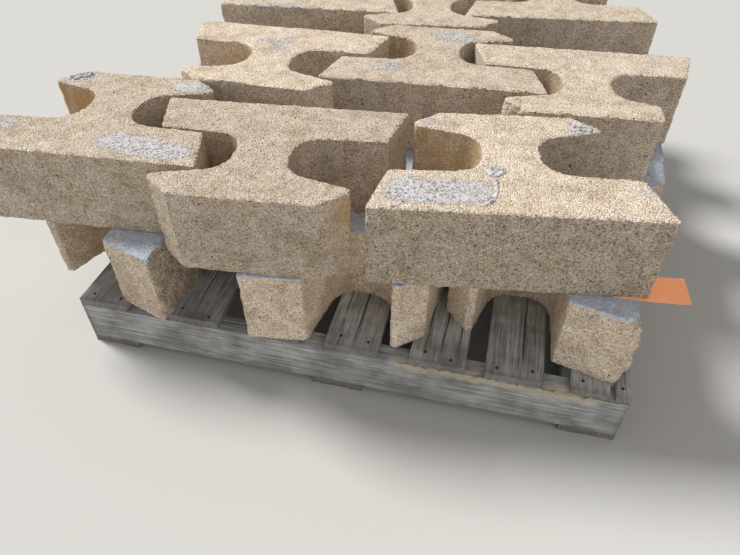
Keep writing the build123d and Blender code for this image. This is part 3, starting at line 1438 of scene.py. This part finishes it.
UPPER_BLOCKS = (
    ConcreteBlock("top_block_front_left", Layer.UPPER, 3.9, tone=0.925, stain=1.6, patches=(
        Patch(-353, -437, 94, 32, -4), Patch(-607, -221, 34, 20, 41), Patch(-368, -210, 36, 24, 6),
        Patch(-640, -425, 40, 34, 13, 0.75),
    )),
    ConcreteBlock("top_block_front_middle", Layer.UPPER, 185.4, tone=0.87, chips=(
        Chip(-84, -471, 427, (7, 5, 5)), Chip(-34, -509, 427, (9, 5, 5)),
    ), painted_light_runs=(PaintedLightRun(22, -482, 40, 110, 1.3),)),
    ConcreteBlock("top_block_front_right", Layer.UPPER, 8.7, Skin.GRITTY, tone=1.06, stain=0.95, patches=(
        Patch(149, -450, 88, 34, 9), Patch(373, -204, 26, 20, 3), Patch(122, -236, 40, 20, 25, 0.45),
        Patch(480, -394, 44, 20, -52, 0.4), Patch(234, -376, 13, 12),
    ), chips=(
        Chip(360, -451, 427, (9, 5, 5)), Chip(236, -377, 427, (7, 6, 5)),
    ), cut_out_shade=0.2),
    ConcreteBlock("top_block_middle_left", Layer.UPPER, 180.8, Skin.GRITTY, Mesh.MIDDLE, tone=1.11,
                  stain=1.3, patches=(Patch(-285, 33, 55, 40, 22, 0.62),)),
    ConcreteBlock("top_block_middle_centre", Layer.UPPER, 3.6, mesh=Mesh.MIDDLE, tone=0.94, patches=(
        Patch(95, 163, 60, 30, -16, 0.75), Patch(-21, -21, 36, 26, 5, 0.7),
    )),
    ConcreteBlock("top_block_middle_right", Layer.UPPER, 183.6, Skin.GRITTY, Mesh.MIDDLE, tone=1.03,
                  broken_end=True),
    ConcreteBlock("top_block_back_left", Layer.UPPER, 5.4, mesh=Mesh.MIDDLE, tone=1.04, patches=(
        Patch(-349, 260, 110, 26, 8, 0.6),
    )),
    ConcreteBlock("top_block_back_middle", Layer.UPPER, 187.2, Skin.GRITTY, Mesh.MIDDLE),
    ConcreteBlock("top_block_back_right", Layer.UPPER, 7.2, mesh=Mesh.MIDDLE),
)
LOWER_BLOCKS = (
    ConcreteBlock("bottom_block_right_front", Layer.LOWER, 90.0, Skin.SPLIT, tone=1.26, belly=9.0, chips=(
        Chip(459, -521, 270, (22, 9, 8)), Chip(424, -505, 272, (16, 7, 5)),
        Chip(487, -505, 268, (9, 16, 11)),
    ), spill=11.0),
    ConcreteBlock("bottom_block_right_middle", Layer.LOWER, 266.6, Skin.SPLIT, Mesh.COARSE),
    ConcreteBlock("bottom_block_right_back", Layer.LOWER, 84.0, Skin.SPLIT, Mesh.COARSE),
    ConcreteBlock("bottom_block_middle_front", Layer.LOWER, 263.4, tone=1.28),
    ConcreteBlock("bottom_block_middle_centre", Layer.LOWER, 87.0, Skin.GRITTY, Mesh.COARSE),
    ConcreteBlock("bottom_block_middle_back", Layer.LOWER, 270.4, Skin.GRITTY, Mesh.COARSE),
    ConcreteBlock("bottom_block_left_front", Layer.LOWER, 86.1, Skin.SPLIT, tone=1.14, belly=9.0),
    ConcreteBlock("bottom_block_left_middle", Layer.LOWER, 267.8, Skin.SPLIT, Mesh.COARSE),
    ConcreteBlock("bottom_block_left_back", Layer.LOWER, 87.4, Skin.SPLIT, Mesh.COARSE),
)
# How many times a sawn blank is cut along x, y and z.
BOARD_CUTS = (40, 110, 3)
STRINGER_CUTS = (110, 10, 22)
BASE_CUTS = (14, 60, 1)
# The cracks of each deck board, from left to right. The near end of a board is at -533.
DECK_CRACKS = (
    (Crack(18, -533, -260), Crack(-22, -200, 300, 0.7)),
    (Crack(-9, -533, -180, 0.9), Crack(26, -420, 120, 0.6)),
    (Crack(-24, -533, -120, 0.9), Crack(10, -533, -330, 0.8), Crack(30, -450, 60, 0.6)),
    (Crack(2, -533, -60), Crack(-30, -533, -300, 0.7), Crack(28, -480, 40, 0.6)),
    (Crack(6, -533, 60), Crack(-26, -533, -210, 0.7), Crack(33, -533, -350, 0.8),
     Crack(-12, -400, -60, 0.5)),
    (Crack(12, -533, -250, 0.9), Crack(-21, -533, -390, 0.7)),
)
DECK_BOARDS = (
    *(Timber(f"deck_board_{number}", Run.ALONG_Y, number, BOARD_CUTS, cracks)
      for number, cracks in enumerate(DECK_CRACKS, 1)),
    Timber("deck_board_7", Run.ALONG_Y, 7, BOARD_CUTS, (Crack(-18, -533, -200, 0.8, 5.0),),
           split=True, nails=(-28.0, 38.0)),
)
STRINGERS = (
    Timber("stringer_1", Run.ALONG_X, 21, STRINGER_CUTS, (Crack(6, -518, -100, 0.7),), torn_edge=(90, 490)),
    Timber("stringer_2", Run.ALONG_X, 22, STRINGER_CUTS),
    Timber("stringer_3", Run.ALONG_X, 23, STRINGER_CUTS),
)
BOTTOM_BOARDS = tuple(
    Timber(f"bottom_board_{number}", Run.ALONG_Y, 30 + number, BASE_CUTS) for number in (1, 2, 3)
)
BEADS = (
    PasteBead("paste_lip", (
        (94, -507, 1.6), (99, -498, 0.9), (114, -491, 0.45), (136, -486, 0.5), (162, -482, 0.55),
        (186, -478, 0.4), (212, -473, 0.6), (229, -471, 1.5), (236, -461, 1.9), (241, -444, 1.5),
        (242, -421, 1.4), (238, -400, 1.6), (232, -389, 2.0),
    )),
    PasteBead("paste_cup", (
        (232, -389, 2.0), (224, -376, 1.9), (228, -364, 1.9), (238, -365, 1.5), (249, -370, 2.1),
        (242, -384, 1.8), (234, -389, 1.6),
    ), 5.5),
    PasteBead("mortar_crumb_right", (
        (356, -203, 1.2), (366, -194, 1.9), (380, -196, 1.5), (388, -206, 1.4), (378, -212, 1.3),
        (367, -208, 1.8),
    ), 6.0, 0.8),
    PasteBead("mortar_crumb_left", (
        (-623, -228, 1.4), (-613, -217, 1.9), (-603, -208, 1.6), (-593, -204, 1.9), (-590, -214, 1.4),
        (-602, -224, 1.8), (-612, -234, 1.2),
    ), 7.0, 0.9),
)


def main() -> None:
    """Builds the blocks, the pallet, the nails, the tag and the studio."""
    logging.basicConfig(level=logging.INFO, format="%(name)s %(message)s")
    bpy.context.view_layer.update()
    concrete = CastConcrete().material()
    for block in UPPER_BLOCKS + LOWER_BLOCKS:
        block.build(concrete)
    softwood = {
        run: WeatheredSoftwood(f"weathered_softwood_{run.name.lower()}", run).material() for run in Run
    }
    for timber in DECK_BOARDS + STRINGERS + BOTTOM_BOARDS:
        timber.build(softwood[timber.run])
    DeckNails(DECK_BOARDS, STRINGERS).build(RustyNail().material())
    PinchedTag().build(TagCard().material())
    for bead in BEADS:
        bead.build(concrete)
    Studio().build()


if __name__ == "__main__":
    main()
